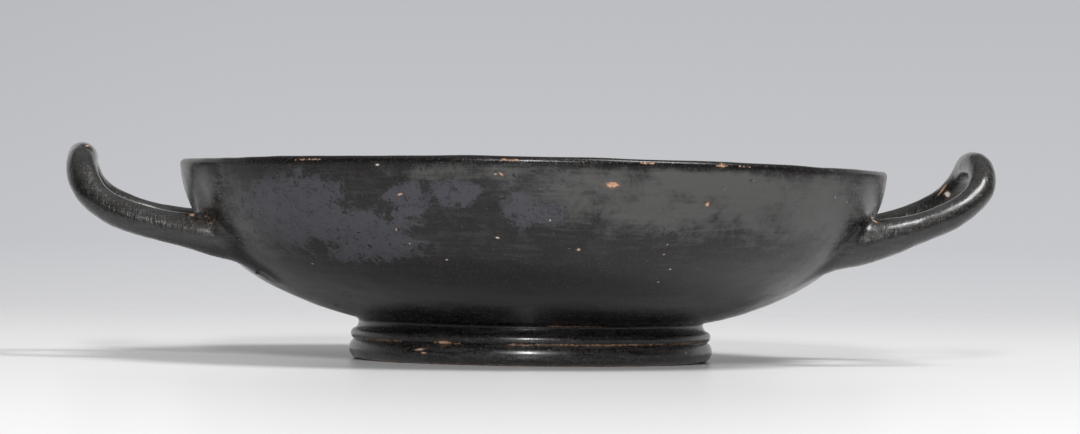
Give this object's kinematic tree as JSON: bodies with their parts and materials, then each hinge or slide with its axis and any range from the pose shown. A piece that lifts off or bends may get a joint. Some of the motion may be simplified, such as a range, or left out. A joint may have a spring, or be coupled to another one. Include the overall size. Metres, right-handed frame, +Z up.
{
  "type": "kylix cup",
  "caption": "Stemless kylix: a shallow black-glazed clay drinking cup on a low moulded ring foot, with a looped handle rising at each side.",
  "frame": {"origin": "middle of the underside, on the surface that the ring foot stands on", "axes": "+Z up through the middle of the foot, X through both handles, -Y the side seen in the picture"},
  "size_m": [0.236, 0.18, 0.0544],
  "materials": {
    "black_glaze": "worn black gloss slip on orange clay, satin, with duller bluish patches, pits and small chips"
  },
  "bodies": {
    "root": {"kylix": "black_glaze"}
  },
  "joints": []
}
